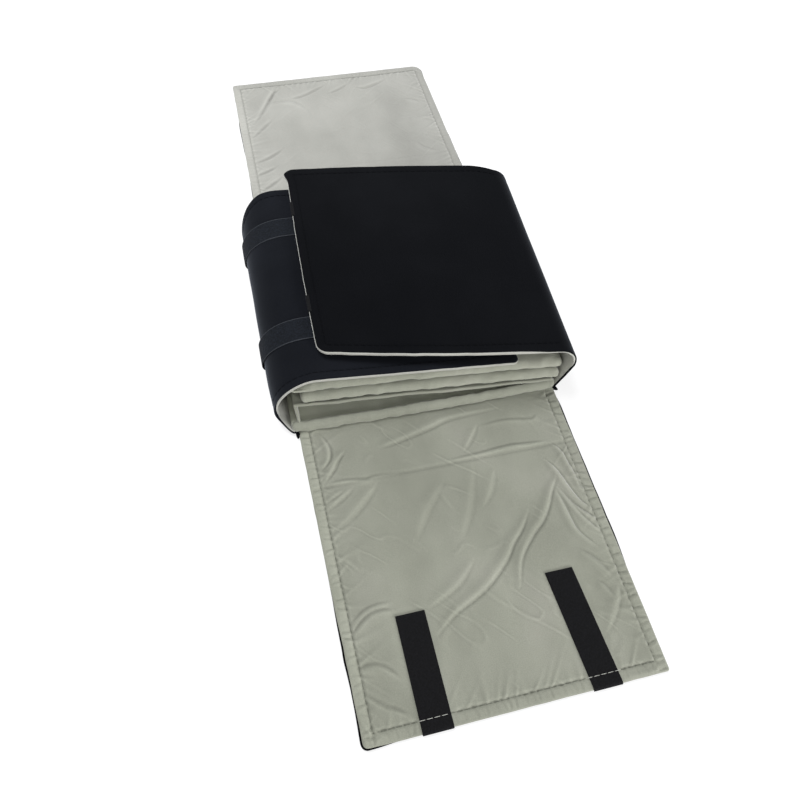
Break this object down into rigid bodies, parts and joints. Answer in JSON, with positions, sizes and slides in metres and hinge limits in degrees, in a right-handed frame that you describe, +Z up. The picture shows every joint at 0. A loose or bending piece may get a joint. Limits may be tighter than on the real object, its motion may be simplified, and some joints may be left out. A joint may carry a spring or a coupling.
{
  "type": "jewelry roll",
  "caption": "Velvet jewelry roll lying open at both ends: two padded wings fold over a stack of padded leaves, two end flaps close with hook-and-loop tape.",
  "frame": {"origin": "on the table, midway between the free ends of the two end flaps, on the middle line of the back flap", "axes": "+X to the right and +Y to the back for someone who faces the front flap, +Z up"},
  "size_m": [0.2478, 0.6584, 0.0464],
  "materials": {
    "black_velvet": "matte short-pile velvet",
    "grey_velvet": "soft short-pile velvet with a faint sheen",
    "wadding": "matte needled wadding",
    "leaf_foam": "matte open-cell foam",
    "hook_tape": "woven nylon tape with hooks",
    "loop_tape": "brushed nylon loop tape"
  },
  "bodies": {
    "base": {"base_outer": "black_velvet", "base_wadding": "wadding", "base_lining": "grey_velvet", "bottom_leaf_upper_cover": "grey_velvet", "bottom_leaf_foam": "leaf_foam", "bottom_leaf_lower_cover": "grey_velvet", "middle_leaf_upper_cover": "grey_velvet", "middle_leaf_foam": "leaf_foam", "middle_leaf_lower_cover": "grey_velvet", "top_leaf_upper_cover": "grey_velvet", "top_leaf_foam": "leaf_foam", "top_leaf_lower_cover": "grey_velvet", "pocket_sheet": "grey_velvet", "pocket_side_web": "grey_velvet", "leaf_binding": "grey_velvet"},
    "left_wing": {"left_wing_outer": "black_velvet", "left_wing_wadding": "wadding", "left_wing_lining": "grey_velvet", "left_loop_tape_front": "loop_tape", "left_loop_tape_back": "loop_tape"},
    "right_wall": {"right_wall_outer": "black_velvet", "right_wall_wadding": "wadding", "right_wall_lining": "grey_velvet"},
    "right_cover": {"right_cover_outer": "black_velvet", "right_cover_wadding": "wadding", "right_cover_lining": "grey_velvet", "right_hook_tape_front": "hook_tape", "right_hook_tape_back": "hook_tape"},
    "front_gusset": {"front_gusset_outer": "black_velvet", "front_gusset_wadding": "wadding", "front_gusset_lining": "grey_velvet"},
    "front_flap": {"front_flap_outer": "black_velvet", "front_flap_wadding": "wadding", "front_flap_lining": "grey_velvet", "front_hook_tape_left": "hook_tape", "front_hook_tape_right": "hook_tape"},
    "back_gusset": {"back_gusset_outer": "black_velvet", "back_gusset_wadding": "wadding", "back_gusset_lining": "grey_velvet"},
    "back_flap": {"back_flap_outer": "black_velvet", "back_flap_wadding": "wadding", "back_flap_lining": "grey_velvet", "back_loop_tape_left": "loop_tape", "back_loop_tape_right": "loop_tape"}
  },
  "joints": [
    {"name": "right_wall_fold", "type": "hinge", "parent": "base", "child": "right_wall", "pos_m": [0.10515, 0, 0.0028], "axis": [0, -1, 0], "range_deg": [-54, 0]},
    {"name": "right_cover_fold", "type": "hinge", "parent": "right_wall", "child": "right_cover", "pos_m": [0.1192, -0.0054, 0.0409], "axis": [-0.0545, -0.9985, 0.008], "range_deg": [-122.04, 0]},
    {"name": "left_wing_fold", "type": "hinge", "parent": "base", "child": "left_wing", "pos_m": [-0.10865, 0, 0.0028], "axis": [0, 1, 0], "range_deg": [-37.8, 0]},
    {"name": "front_gusset_fold", "type": "hinge", "parent": "base", "child": "front_gusset", "pos_m": [0, -0.10735, 0.0022], "axis": [-0.9997, 0.0236, 0], "range_deg": [0, 90]},
    {"name": "front_flap_fold", "type": "hinge", "parent": "front_gusset", "child": "front_flap", "pos_m": [0, -0.15649, 0.0022], "axis": [-0.9997, 0.0236, 0], "range_deg": [0, 90]},
    {"name": "back_gusset_fold", "type": "hinge", "parent": "base", "child": "back_gusset", "pos_m": [0, 0.13615, 0.003], "axis": [1, 0, 0], "range_deg": [0, 90]},
    {"name": "back_flap_fold", "type": "hinge", "parent": "back_gusset", "child": "back_flap", "pos_m": [0, 0.18039, 0.003], "axis": [1, 0, 0], "range_deg": [0, 90]}
  ],
  "couplings": [
    {"joint": "right_cover_fold", "follows": "right_wall_fold", "ratio": 2.26},
    {"joint": "left_wing_fold", "follows": "right_wall_fold", "ratio": 0.7}
  ]
}
